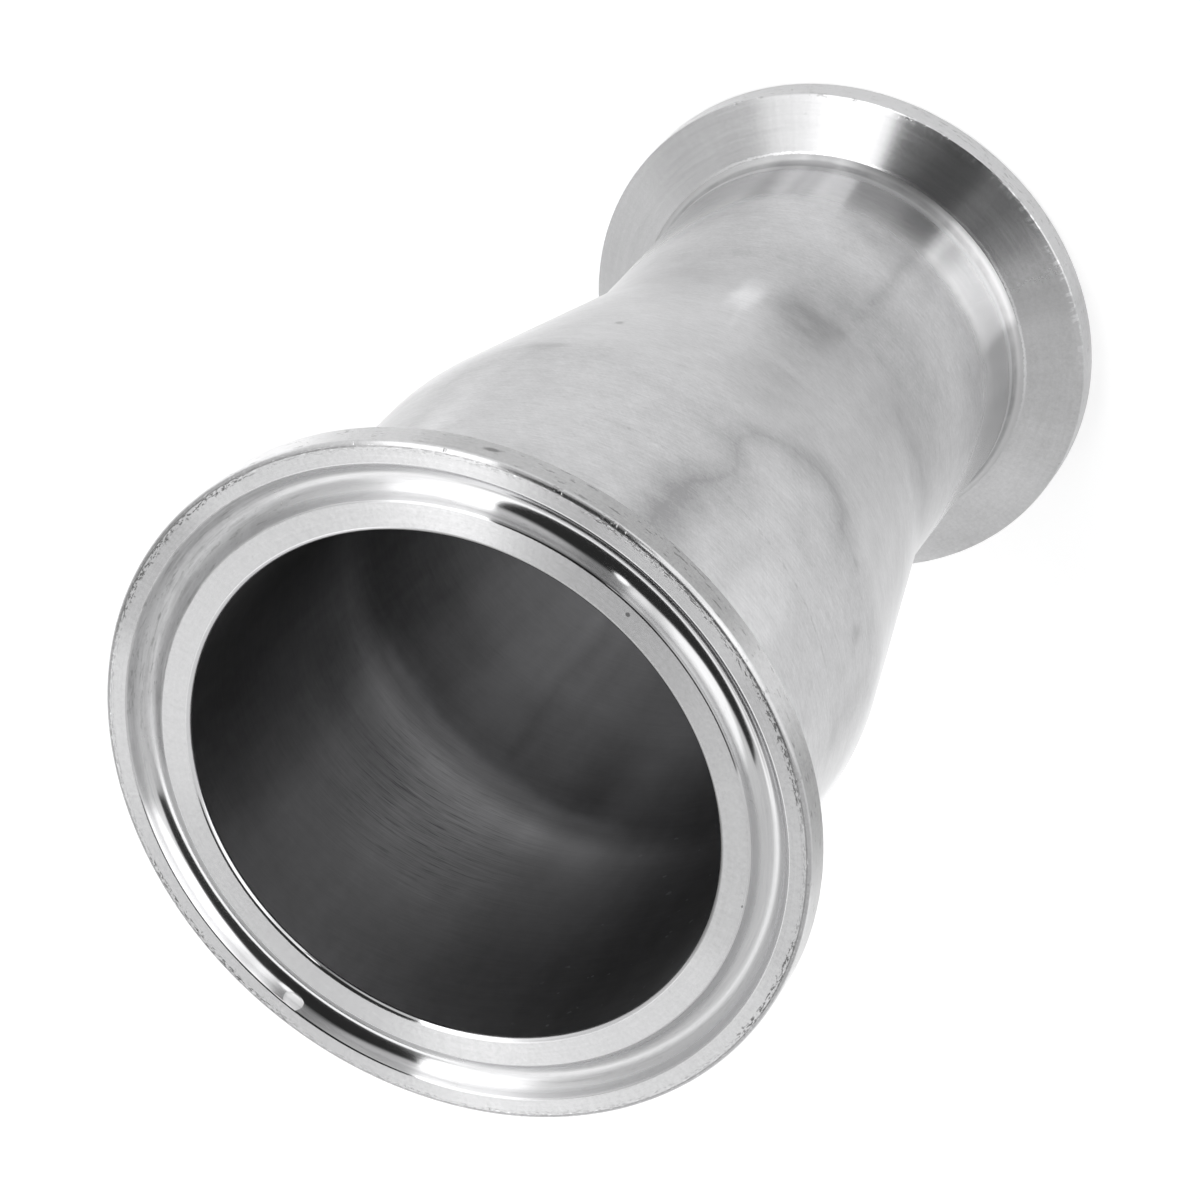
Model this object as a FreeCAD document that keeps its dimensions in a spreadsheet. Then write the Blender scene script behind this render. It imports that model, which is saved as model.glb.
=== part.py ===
import FreeCAD, Part
import math
import os
import Sketcher

# A sanitary clamp reducer: a tube swaged down from a large bore to a smaller one on the same axis, with a
# clamp ferrule at each end. The welds of the ferrules are ground flush inside and out, so it is one piece.
#
# It stands on the face of its small ferrule. The origin is the centre of that face and +Z runs along the
# bore to the large mouth. Lengths are millimetres, angles degrees.

# Driving sizes, each of which can be set by itself
SIZES = {
    # tube: a straight end, the stretch that tapers and another straight end
    "large_tube_dia": 51.0,
    "small_tube_dia": 38.0,
    "tube_wall": 1.5,
    "large_straight": 30.8,
    "taper_length": 37.8,
    "small_straight": 25.7,
    "large_shoulder_radius": 24.0,
    "small_shoulder_radius": 38.0,
    # ferrule flanges, which reach out from the tube's outside to the rim
    "large_flange_reach": 6.5,
    "small_flange_reach": 6.25,
    "rim_land": 2.85,
    "back_taper": 20.0,
    "neck_radius": 1.2,
    # gasket grooves, whose middle lies outside the tube's outside
    "large_groove_reach": 2.85,
    "small_groove_reach": 2.75,
    "groove_radius": 1.7,
    "groove_depth": 1.3,
    # broken edges
    "groove_lip_break": 0.2,
    "bore_edge_break": 0.25,
    "rim_face_break": 0.3,
    "rim_back_break": 0.15,
}

# From one face to the other, as a length and as an expression on the sheet
OVERALL_LENGTH = SIZES["small_straight"] + SIZES["taper_length"] + SIZES["large_straight"]
OVERALL_SIZE = "sizes.small_straight + sizes.taper_length + sizes.large_straight"

# The two ends: how high the face lies, the same as an expression, and which way is into the metal
ENDS = {
    "large": {"height": OVERALL_LENGTH, "size": OVERALL_SIZE, "inward": -1},
    "small": {"height": 0.0, "size": "0", "inward": 1},
}

# Positions that a constraint can name on a piece of sketch geometry
START = 1
END = 2
CENTRE = 3
ORIGIN = (-1, START)
HORIZONTAL_AXIS = -1

TOUCH = 1e-4


def make_sheet(document):
    """Put every driving size in a cell of its own, under its name."""
    sheet = document.addObject("Spreadsheet::Sheet", "sizes")
    for row, (name, value) in enumerate(SIZES.items(), start=1):
        sheet.set("A%d" % row, name)
        sheet.set("B%d" % row, str(value))
        sheet.setAlias("B%d" % row, name)
    document.recompute()
    return sheet


def add_half_section(body, name):
    """An empty sketch on the plane through the axis: its X is the radius and its Y the height."""
    plane = next(item for item in body.Origin.OriginFeatures if item.Role == "XZ_Plane")
    sketch = body.newObject("Sketcher::SketchObject", name)
    sketch.AttachmentSupport = (plane, [""])
    sketch.MapMode = "FlatFace"
    return sketch


def point(radius, height):
    return FreeCAD.Vector(radius, height, 0)


def add_line(sketch, start, end):
    return sketch.addGeometry(Part.LineSegment(point(*start), point(*end)), False)


def add_arc(sketch, centre, radius, first_angle, last_angle):
    """An arc that runs anticlockwise between two angles in degrees."""
    circle = Part.Circle(point(*centre), FreeCAD.Vector(0, 0, 1), radius)
    arc = Part.ArcOfCircle(circle, math.radians(first_angle), math.radians(last_angle))
    return sketch.addGeometry(arc, False)


def fix(sketch, kind, *places):
    sketch.addConstraint(Sketcher.Constraint(kind, *places))


def measure(sketch, kind, *places, value, size):
    """A dimension that starts at its value and follows an expression on the sheet."""
    index = sketch.addConstraint(Sketcher.Constraint(kind, *places, value))
    sketch.setExpression("Constraints[%d]" % index, size)


def tube_cone_angle():
    """Half angle of the straight cone that is tangent to both shoulders."""
    shoulders = SIZES["large_shoulder_radius"] + SIZES["small_shoulder_radius"]
    across = shoulders - (SIZES["large_tube_dia"] - SIZES["small_tube_dia"]) / 2
    lean = math.atan2(SIZES["taper_length"], across)
    return math.degrees(lean - math.acos(shoulders / math.hypot(across, SIZES["taper_length"])))


def draw_skin(sketch, inset):
    """One side of the tube wall from the large face down to the small one, as five tangent curves."""
    top = OVERALL_LENGTH
    large_radius = tube_radius("large")
    small_radius = tube_radius("small")
    large_bend = SIZES["large_shoulder_radius"] - inset
    small_bend = SIZES["small_shoulder_radius"] + inset
    large_end = top - SIZES["large_straight"]
    small_end = SIZES["small_straight"]
    large_centre = (large_radius - SIZES["large_shoulder_radius"], large_end)
    small_centre = (small_radius + SIZES["small_shoulder_radius"], small_end)
    angle = tube_cone_angle()
    outward = math.cos(math.radians(angle))
    upward = math.sin(math.radians(angle))
    cone_top = (large_centre[0] + large_bend * outward, large_centre[1] - large_bend * upward)
    cone_foot = (small_centre[0] - small_bend * outward, small_centre[1] + small_bend * upward)

    large_line = add_line(sketch, (large_radius - inset, top), (large_radius - inset, large_end))
    large_arc = add_arc(sketch, large_centre, large_bend, -angle, 0)
    cone = add_line(sketch, cone_top, cone_foot)
    small_arc = add_arc(sketch, small_centre, small_bend, 180 - angle, 180)
    small_line = add_line(sketch, (small_radius - inset, small_end), (small_radius - inset, 0))

    fix(sketch, "Vertical", large_line)
    fix(sketch, "Vertical", small_line)
    fix(sketch, "Tangent", large_line, END, large_arc, END)
    fix(sketch, "Tangent", large_arc, START, cone, START)
    fix(sketch, "Tangent", cone, END, small_arc, START)
    fix(sketch, "Tangent", small_arc, END, small_line, START)
    return large_line, large_arc, small_arc, small_line


def draw_tube(body):
    """Half section of the tube: straight ends, a cone between them and a wall of one thickness."""
    sketch = add_half_section(body, "tube_section")
    wall = SIZES["tube_wall"]
    large_line, large_arc, small_arc, small_line = draw_skin(sketch, 0.0)
    large_bore, large_inner_arc, small_inner_arc, small_bore = draw_skin(sketch, wall)

    top = OVERALL_LENGTH
    large_radius = tube_radius("large")
    small_radius = tube_radius("small")
    large_face = add_line(sketch, (large_radius, top), (large_radius - wall, top))
    small_face = add_line(sketch, (small_radius, 0), (small_radius - wall, 0))
    fix(sketch, "Coincident", large_face, START, large_line, START)
    fix(sketch, "Coincident", large_face, END, large_bore, START)
    fix(sketch, "Coincident", small_face, START, small_line, END)
    fix(sketch, "Coincident", small_face, END, small_bore, END)
    fix(sketch, "Horizontal", large_face)
    fix(sketch, "Horizontal", small_face)
    fix(sketch, "PointOnObject", small_line, END, HORIZONTAL_AXIS)

    # the inner shoulders share the outer ones' centres, which keeps the wall one thickness round the bends
    fix(sketch, "Coincident", large_inner_arc, CENTRE, large_arc, CENTRE)
    fix(sketch, "Coincident", small_inner_arc, CENTRE, small_arc, CENTRE)

    measure(sketch, "DistanceX", *ORIGIN, large_line, START,
            value=large_radius, size="sizes.large_tube_dia / 2")
    measure(sketch, "DistanceX", *ORIGIN, small_line, END,
            value=small_radius, size="sizes.small_tube_dia / 2")
    measure(sketch, "DistanceX", large_bore, START, large_line, START, value=wall, size="sizes.tube_wall")
    measure(sketch, "DistanceX", small_bore, END, small_line, END, value=wall, size="sizes.tube_wall")
    measure(sketch, "DistanceY", small_line, END, small_line, START,
            value=SIZES["small_straight"], size="sizes.small_straight")
    measure(sketch, "DistanceY", small_line, START, large_line, END,
            value=SIZES["taper_length"], size="sizes.taper_length")
    measure(sketch, "DistanceY", large_line, END, large_line, START,
            value=SIZES["large_straight"], size="sizes.large_straight")
    measure(sketch, "Radius", large_arc,
            value=SIZES["large_shoulder_radius"], size="sizes.large_shoulder_radius")
    measure(sketch, "Radius", small_arc,
            value=SIZES["small_shoulder_radius"], size="sizes.small_shoulder_radius")
    return sketch


def tube_radius(end):
    return SIZES[end + "_tube_dia"] / 2


def rim_radius(end):
    return tube_radius(end) + SIZES[end + "_flange_reach"]


def groove_middle(end):
    return tube_radius(end) + SIZES[end + "_groove_reach"]


def back_height(end, radius):
    """Height of the tapered back of a flange at a radius."""
    slope = math.tan(math.radians(SIZES["back_taper"]))
    depth = SIZES["rim_land"] + (rim_radius(end) - radius) * slope
    return ENDS[end]["height"] + ENDS[end]["inward"] * depth


def draw_flange(body, end):
    """Half section of a flange: flat face, cylindrical rim and tapered back, rooted in the tube's wall."""
    sketch = add_half_section(body, end + "_flange_section")
    face = ENDS[end]["height"]
    inward = ENDS[end]["inward"]
    rim = rim_radius(end)
    root = tube_radius(end) - SIZES["tube_wall"] / 2
    face_line = add_line(sketch, (root, face), (rim, face))
    rim_line = add_line(sketch, (rim, face), (rim, back_height(end, rim)))
    back_line = add_line(sketch, (root, back_height(end, root)), (rim, back_height(end, rim)))
    root_line = add_line(sketch, (root, back_height(end, root)), (root, face))
    fix(sketch, "Coincident", face_line, END, rim_line, START)
    fix(sketch, "Coincident", rim_line, END, back_line, END)
    fix(sketch, "Coincident", back_line, START, root_line, START)
    fix(sketch, "Coincident", root_line, END, face_line, START)
    fix(sketch, "Horizontal", face_line)
    fix(sketch, "Vertical", rim_line)
    fix(sketch, "Vertical", root_line)

    if face:
        measure(sketch, "DistanceY", *ORIGIN, face_line, START, value=face, size=ENDS[end]["size"])
    else:
        fix(sketch, "PointOnObject", face_line, START, HORIZONTAL_AXIS)
    measure(sketch, "DistanceX", *ORIGIN, face_line, START,
            value=root, size="sizes.%s_tube_dia / 2 - sizes.tube_wall / 2" % end)
    measure(sketch, "DistanceX", *ORIGIN, face_line, END,
            value=rim, size="sizes.%s_tube_dia / 2 + sizes.%s_flange_reach" % (end, end))
    lower, upper = (START, END) if inward > 0 else (END, START)
    measure(sketch, "DistanceY", rim_line, lower, rim_line, upper,
            value=SIZES["rim_land"], size="sizes.rim_land")
    measure(sketch, "Angle", back_line,
            value=math.radians(-inward * SIZES["back_taper"]), size="%d * sizes.back_taper" % -inward)
    return sketch


def draw_gasket_groove(body, end):
    """Round section of the groove that seats a gasket's bead, with its centre just outside the face."""
    sketch = add_half_section(body, end + "_groove_section")
    rise = SIZES["groove_radius"] - SIZES["groove_depth"]
    centre = (groove_middle(end), ENDS[end]["height"] - ENDS[end]["inward"] * rise)
    circle = Part.Circle(point(*centre), FreeCAD.Vector(0, 0, 1), SIZES["groove_radius"])
    ring = sketch.addGeometry(circle, False)
    outside = "sizes.groove_radius - sizes.groove_depth"
    measure(sketch, "Radius", ring, value=SIZES["groove_radius"], size="sizes.groove_radius")
    measure(sketch, "DistanceX", *ORIGIN, ring, CENTRE,
            value=centre[0], size="sizes.%s_tube_dia / 2 + sizes.%s_groove_reach" % (end, end))
    measure(sketch, "DistanceY", *ORIGIN, ring, CENTRE,
            value=centre[1], size="%s - %d * (%s)" % (ENDS[end]["size"], ENDS[end]["inward"], outside))
    return sketch


def turn(body, kind, name, sketch):
    """Turn a half section all the way round the axis, to add metal or to cut it."""
    feature = body.newObject(kind, name)
    feature.Profile = sketch
    feature.ReferenceAxis = (sketch, ["V_Axis"])
    feature.Angle = 360
    sketch.Visibility = False
    body.Document.recompute()
    return feature


def find_rings(shape, rings):
    """Names of the circular edges that lie at the given pairs of radius and height."""
    names = []
    for number, edge in enumerate(shape.Edges, start=1):
        if not isinstance(edge.Curve, Part.Circle):
            continue
        for radius, height in rings:
            near = abs(edge.Curve.Radius - radius) < TOUCH
            if near and abs(edge.Curve.Center.z - height) < TOUCH:
                names.append("Edge%d" % number)
    if len(names) != len(rings):
        raise RuntimeError("%d edges found of %d" % (len(names), len(rings)))
    return names


def dress_rings(body, kind, name, rings, setting, size):
    """Fillet or chamfer circular edges by an amount that follows the sheet."""
    base = body.Tip
    feature = body.newObject(kind, name)
    feature.Base = (base, find_rings(base.Shape, rings))
    setattr(feature, setting, SIZES[size])
    feature.setExpression(setting, "sizes." + size)
    body.Document.recompute()
    return feature


def cut_gasket_groove(body, end):
    before = body.Shape.Volume
    turn(body, "PartDesign::Groove", end + "_gasket_groove", draw_gasket_groove(body, end))
    if body.Shape.Volume >= before:
        raise RuntimeError("the %s gasket groove cuts nothing" % end)


def fillet_necks(body):
    """Fill the corner between each tube and the tapered back of its flange."""
    necks = [(tube_radius(end), back_height(end, tube_radius(end))) for end in ENDS]
    dress_rings(body, "PartDesign::Fillet", "neck_fillets", necks, "Radius", "neck_radius")


def break_edges(body):
    """Take off the sharp corners of both ferrules, as a turner does."""
    rise = SIZES["groove_radius"] - SIZES["groove_depth"]
    groove_half = math.sqrt(SIZES["groove_radius"] ** 2 - rise ** 2)
    rings = {"groove_lip": [], "bore_edge": [], "rim_face": [], "rim_back": []}
    for end, place in ENDS.items():
        face = place["height"]
        rings["groove_lip"].append((groove_middle(end) - groove_half, face))
        rings["groove_lip"].append((groove_middle(end) + groove_half, face))
        rings["bore_edge"].append((tube_radius(end) - SIZES["tube_wall"], face))
        rings["rim_face"].append((rim_radius(end), face))
        rings["rim_back"].append((rim_radius(end), back_height(end, rim_radius(end))))
    for name, places in rings.items():
        dress_rings(body, "PartDesign::Chamfer", name + "s", places, "Size", name + "_break")


def build_reducer(document):
    """The whole fitting, turned in one body."""
    body = document.addObject("PartDesign::Body", "Reducer")
    body.Label = "clamp_reducer"
    turn(body, "PartDesign::Revolution", "tube", draw_tube(body))
    for end in ENDS:
        turn(body, "PartDesign::Revolution", end + "_flange", draw_flange(body, end))
    for end in ENDS:
        cut_gasket_groove(body, end)
    fillet_necks(body)
    break_edges(body)
    body.Placement = FreeCAD.Placement()
    return body


def check(document, parts):
    """Stop before anything is written if a feature failed or a solid isn't sound."""
    for item in document.Objects:
        if "Invalid" in item.State or "Error" in item.State:
            raise RuntimeError("%s failed: %s" % (item.Name, item.State))
    for part in parts:
        shape = part.Shape
        if shape.isNull() or not shape.isValid() or len(shape.Solids) != 1:
            raise RuntimeError("%s isn't one sound solid" % part.Label)


def main():
    document = FreeCAD.newDocument("clamp_reducer")
    make_sheet(document)
    parts = [build_reducer(document)]
    document.recompute()
    check(document, parts)
    os.makedirs("parts", exist_ok=True)
    for part in parts:
        part.Shape.exportStep("parts/%s.step" % part.Label)
        print(part.Label, "%.0f mm3" % part.Shape.Volume, part.Shape.BoundBox)


main()
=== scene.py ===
import math

import bpy
from mathutils import Matrix, Vector


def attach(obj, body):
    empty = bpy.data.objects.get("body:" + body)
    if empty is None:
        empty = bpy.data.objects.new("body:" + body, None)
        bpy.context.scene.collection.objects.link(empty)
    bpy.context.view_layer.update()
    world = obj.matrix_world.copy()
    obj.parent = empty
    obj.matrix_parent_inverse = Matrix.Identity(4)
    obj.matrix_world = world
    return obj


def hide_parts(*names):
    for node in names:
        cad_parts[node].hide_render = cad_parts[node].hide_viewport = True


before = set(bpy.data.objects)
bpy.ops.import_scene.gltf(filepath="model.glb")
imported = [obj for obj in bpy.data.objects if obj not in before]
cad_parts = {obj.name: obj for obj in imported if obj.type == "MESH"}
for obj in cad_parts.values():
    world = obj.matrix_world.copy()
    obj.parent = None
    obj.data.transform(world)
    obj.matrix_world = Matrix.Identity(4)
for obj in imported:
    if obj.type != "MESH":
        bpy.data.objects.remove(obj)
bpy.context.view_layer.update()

# sizes of the reducer, in millimetres and degrees

MM = 0.001
LENGTH = 94.3
WALL = 1.5
LARGE_STRAIGHT = 30.8
SMALL_STRAIGHT = 25.7
LARGE_SHOULDER = 24.0
SMALL_SHOULDER = 38.0
RIM_LAND = 2.85
BACK_TAPER = 20.0
NECK_ROUND = 1.2
GROOVE_HALF = 1.65
GROOVE_DEPTH = 1.3
GROOVE_WALL = 60.0
GROOVE_LIP = 0.22
BORE_EDGE = 0.4
RIM_FRONT_EDGE = 0.45
RIM_BACK_EDGE = 0.2

# each end's face height, way in from the face, and radii of the tube, the rim and the groove's middle
SMALL = {"face": 0.0, "inward": 1, "tube": 19.0, "rim": 25.25, "groove": 21.75}
LARGE = {"face": LENGTH, "inward": -1, "tube": 25.5, "rim": 32.0, "groove": 28.35}

# steps round the axis, the longest steps along an arc in degrees and millimetres, and the width of edge loops
TURN_STEPS = 400
ARC_STEP = 9.0
ARC_CHORD = 0.8
EDGE_LOOP = 0.04


def cone_lean():
    """Half angle of the cone between the two shoulders, in degrees."""
    reach = LARGE_SHOULDER + SMALL_SHOULDER
    rise = LENGTH - LARGE_STRAIGHT - SMALL_STRAIGHT
    across = reach - (LARGE["tube"] - SMALL["tube"])
    return math.degrees(math.atan2(rise, across) - math.acos(reach / math.hypot(across, rise)))


def back_height(end, radius):
    """Height of the tapered back of a flange at a radius."""
    depth = RIM_LAND + (end["rim"] - radius) * math.tan(math.radians(BACK_TAPER))
    return end["face"] + end["inward"] * depth


def rounded_corner(before, corner, after, radius):
    """A run up to a corner and the arc that rounds it, as strokes of the section."""
    corner = Vector(corner)
    back = (Vector(before) - corner).normalized()
    ahead = (Vector(after) - corner).normalized()
    half = back.angle(ahead) / 2
    start = corner + back * (radius / math.tan(half))
    middle = corner + (back + ahead).normalized() * (radius / math.sin(half))
    turn = 180 - math.degrees(2 * half)
    if back.x * ahead.y - back.y * ahead.x > 0:
        turn = -turn
    return [("run", start.x, start.y), ("round", middle.x, middle.y, turn)]


def gasket_groove(end, outward):
    """Rounded lips, leaning walls and a round bottom, crossed towards the rim or towards the bore."""
    lean = math.radians(GROOVE_WALL)
    straight = GROOVE_HALF - GROOVE_DEPTH / math.tan(lean)
    bottom = straight / (math.sin(lean) - (1 - math.cos(lean)) / math.tan(lean))
    face, inward = end["face"], end["inward"]
    middle = face + inward * (GROOVE_DEPTH - bottom)
    side = 1 if outward else -1
    first, last = end["groove"] - side * GROOVE_HALF, end["groove"] + side * GROOVE_HALF
    foot = bottom * math.sin(lean)
    foot_height = middle + inward * bottom * math.cos(lean)
    down = (end["groove"] - side * foot, foot_height)
    up = (end["groove"] + side * foot, foot_height)
    strokes = rounded_corner((first - side, face), (first, face), down, GROOVE_LIP)
    strokes += [("run", *down), ("round", end["groove"], middle, -2 * side * inward * GROOVE_WALL)]
    strokes += rounded_corner(up, (last, face), (last + side, face), GROOVE_LIP)
    return strokes


def tube_skin(inset, downward):
    """The straight ends, the shoulders and the cone on one side of the tube's wall."""
    lean = cone_lean()
    out = math.cos(math.radians(lean))
    up = math.sin(math.radians(lean))
    high = LENGTH - LARGE_STRAIGHT
    large_middle = (LARGE["tube"] - LARGE_SHOULDER, high)
    small_middle = (SMALL["tube"] + SMALL_SHOULDER, SMALL_STRAIGHT)
    large_bend = LARGE_SHOULDER - inset
    small_bend = SMALL_SHOULDER + inset
    cone_top = (large_middle[0] + large_bend * out, large_middle[1] - large_bend * up)
    cone_foot = (small_middle[0] - small_bend * out, small_middle[1] + small_bend * up)
    if downward:
        return [
            ("run", LARGE["tube"] - inset, high),
            ("round", *large_middle, -lean),
            ("run", *cone_foot),
            ("round", *small_middle, lean),
        ]
    return [
        ("run", SMALL["tube"] - inset, SMALL_STRAIGHT),
        ("round", *small_middle, -lean),
        ("run", *cone_top),
        ("round", *large_middle, lean),
    ]


def section_strokes():
    """The whole half section, up the outside and down the bore, starting on the small face."""
    small_bore = SMALL["tube"] - WALL
    large_bore = LARGE["tube"] - WALL
    small_neck = (SMALL["tube"], back_height(SMALL, SMALL["tube"]))
    large_neck = (LARGE["tube"], back_height(LARGE, LARGE["tube"]))
    small_back = (SMALL["rim"], back_height(SMALL, SMALL["rim"]))
    large_back = (LARGE["rim"], back_height(LARGE, LARGE["rim"]))
    small_front = (SMALL["rim"], 0.0)
    large_front = (LARGE["rim"], LENGTH)
    small_edge = (small_bore, 0.0)
    large_edge = (large_bore, LENGTH)
    strokes = gasket_groove(SMALL, True)
    strokes += rounded_corner(small_edge, small_front, small_back, RIM_FRONT_EDGE)
    strokes += rounded_corner(small_front, small_back, small_neck, RIM_BACK_EDGE)
    strokes += rounded_corner(small_back, small_neck, (SMALL["tube"], SMALL_STRAIGHT), NECK_ROUND)
    strokes += tube_skin(0.0, False)
    strokes += rounded_corner((LARGE["tube"], LENGTH / 2), large_neck, large_back, NECK_ROUND)
    strokes += rounded_corner(large_neck, large_back, large_front, RIM_BACK_EDGE)
    strokes += rounded_corner(large_back, large_front, large_edge, RIM_FRONT_EDGE)
    strokes += gasket_groove(LARGE, False)
    strokes += rounded_corner(large_front, large_edge, (large_bore, LENGTH / 2), BORE_EDGE)
    strokes += tube_skin(WALL, True)
    strokes += rounded_corner((small_bore, LENGTH / 2), small_edge, small_front, BORE_EDGE)
    return strokes


def pull_point(radius, height, at):
    """Extrude the selected end point of the section to a new place."""
    move = (radius - at[0]) * MM, 0.0, (height - at[1]) * MM
    bpy.ops.mesh.extrude_region_move(TRANSFORM_OT_translate={"value": move})
    return radius, height


# runs under the first length aren't drawn, and runs over this many edge loops get one at each end
NOTHING = 1e-6
ROOM_FOR_LOOPS = 4
# points that lie nearer than this, in millimetres, become one
MERGE = 0.001


def draw_section(start, strokes):
    """Draw the section's points from one corner: runs are extruded, arcs are spun about their middles."""
    bpy.ops.mesh.primitive_plane_add(size=MM, location=(start[0] * MM, 0.0, start[1] * MM))
    piece = bpy.context.object
    bpy.ops.object.transform_apply(location=True, rotation=True, scale=True)
    bpy.ops.object.mode_set(mode="EDIT")
    bpy.ops.mesh.select_mode(type="VERT")
    bpy.ops.mesh.select_all(action="SELECT")
    bpy.ops.mesh.merge(type="CENTER")
    at = start
    for kind, radius, height, *turn in strokes:
        if kind == "run":
            length = math.hypot(radius - at[0], height - at[1])
            if length < NOTHING:
                continue
            along = (radius - at[0]) / length, (height - at[1]) / length
            if length > ROOM_FOR_LOOPS * EDGE_LOOP:
                finish = at[0] + along[0] * (length - EDGE_LOOP), at[1] + along[1] * (length - EDGE_LOOP)
                at = pull_point(at[0] + along[0] * EDGE_LOOP, at[1] + along[1] * EDGE_LOOP, at)
                at = pull_point(*finish, at)
            at = pull_point(radius, height, at)
        else:
            angle = math.radians(turn[0])
            sweep = math.hypot(at[0] - radius, at[1] - height) * abs(angle)
            steps = max(2, round(abs(turn[0]) / ARC_STEP), round(sweep / ARC_CHORD))
            bpy.ops.mesh.spin(steps=steps, angle=angle, center=(radius * MM, 0.0, height * MM),
                              axis=(0.0, 1.0, 0.0))
            spoke = Vector((at[0] - radius, at[1] - height))
            spoke.rotate(Matrix.Rotation(angle, 2))
            at = radius + spoke.x, height + spoke.y
    return piece


def turn_reducer():
    """The reducer turned from its section, as one closed shell."""
    bpy.ops.object.select_all(action="DESELECT")
    strokes = section_strokes()
    start = (SMALL["tube"] - WALL + BORE_EDGE, 0.0)
    piece = draw_section(start, strokes)
    bpy.ops.mesh.select_all(action="SELECT")
    bpy.ops.mesh.remove_doubles(threshold=MERGE * MM)
    bpy.ops.object.mode_set(mode="OBJECT")
    turning = piece.modifiers.new("turning", "SCREW")
    turning.axis = "Z"
    turning.angle = 2 * math.pi
    turning.steps = TURN_STEPS
    turning.render_steps = TURN_STEPS
    turning.use_merge_vertices = True
    turning.merge_threshold = MERGE * MM
    bpy.ops.object.modifier_apply(modifier=turning.name)
    bpy.ops.object.mode_set(mode="EDIT")
    bpy.ops.mesh.select_all(action="SELECT")
    bpy.ops.mesh.remove_doubles(threshold=MERGE * MM)
    bpy.ops.mesh.normals_make_consistent(inside=False)
    bpy.ops.object.mode_set(mode="OBJECT")
    bpy.ops.object.shade_smooth()
    piece.name = "reducer_body"
    piece.data.name = "reducer_body"
    return piece


# camera, at the photograph's viewing angle: place, degrees of tilt and roll, lens and sensor in millimetres

CAMERA_PLACE = (0.772 * MM, -260.07 * MM, 408.592 * MM)
CAMERA_TILT = 90 - 53.22
CAMERA_ROLL = -139.54
CAMERA_LENS = 147.85
CAMERA_SENSOR = 36.0


def set_up_camera():
    """The camera looks down into the large mouth, with the object lying across the picture."""
    data = bpy.data.cameras.new("picture_camera")
    data.sensor_width = CAMERA_SENSOR
    data.lens = CAMERA_LENS
    camera = bpy.data.objects.new("picture_camera", data)
    bpy.context.scene.collection.objects.link(camera)
    tilt = Matrix.Rotation(math.radians(CAMERA_TILT), 4, "X")
    roll = Matrix.Rotation(math.radians(CAMERA_ROLL), 4, "Z")
    camera.matrix_world = Matrix.Translation(CAMERA_PLACE) @ tilt @ roll
    bpy.context.scene.camera = camera


# shader maths written as expressions

class Level:
    """A number or vector that changes over a surface: one output socket, with the usual arithmetic."""

    def __init__(self, sheet, socket):
        self.sheet = sheet
        self.socket = socket

    def maths(self, operation, *values, clamp=False):
        settings = {"operation": operation, "use_clamp": clamp}
        return self.sheet.add("ShaderNodeMath", settings, dict(enumerate(values)))

    def __add__(self, other):
        return self.maths("ADD", self, other)

    __radd__ = __add__

    def __sub__(self, other):
        return self.maths("SUBTRACT", self, other)

    def __rsub__(self, other):
        return self.maths("SUBTRACT", other, self)

    def __mul__(self, other):
        return self.maths("MULTIPLY", self, other)

    __rmul__ = __mul__

    def __truediv__(self, other):
        return self.maths("DIVIDE", self, other)

    def __rtruediv__(self, other):
        return self.maths("DIVIDE", other, self)

    def __neg__(self):
        return self.maths("MULTIPLY", self, -1.0)

    def squared(self):
        return self.maths("MULTIPLY", self, self)

    def root(self):
        return self.maths("SQRT", self)

    def size(self):
        return self.maths("ABSOLUTE", self)

    def clipped(self):
        return self.maths("ADD", self, 0.0, clamp=True)

    def most(self, other):
        return self.maths("MAXIMUM", self, other)

    def least(self, other):
        return self.maths("MINIMUM", self, other)

    def step_up(self, start, finish):
        """Smoothly from 0 at start to 1 at finish, which may be the lower number."""
        values = {"Value": self, "From Min": min(start, finish), "From Max": max(start, finish)}
        values["To Min"] = 0.0 if start < finish else 1.0
        values["To Max"] = 1.0 if start < finish else 0.0
        return self.sheet.add("ShaderNodeMapRange", {"interpolation_type": "SMOOTHSTEP"}, values)

    def near(self, place, end, full):
        """1 near a place: full within one distance either side, and smoothly down to 0 at the other."""
        return (self - place).size().step_up(end, full)

    def between(self, start, finish, soft):
        """1 between two places, with soft ends."""
        return self.step_up(start - soft, start + soft) * self.step_up(finish + soft, finish - soft)


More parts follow.
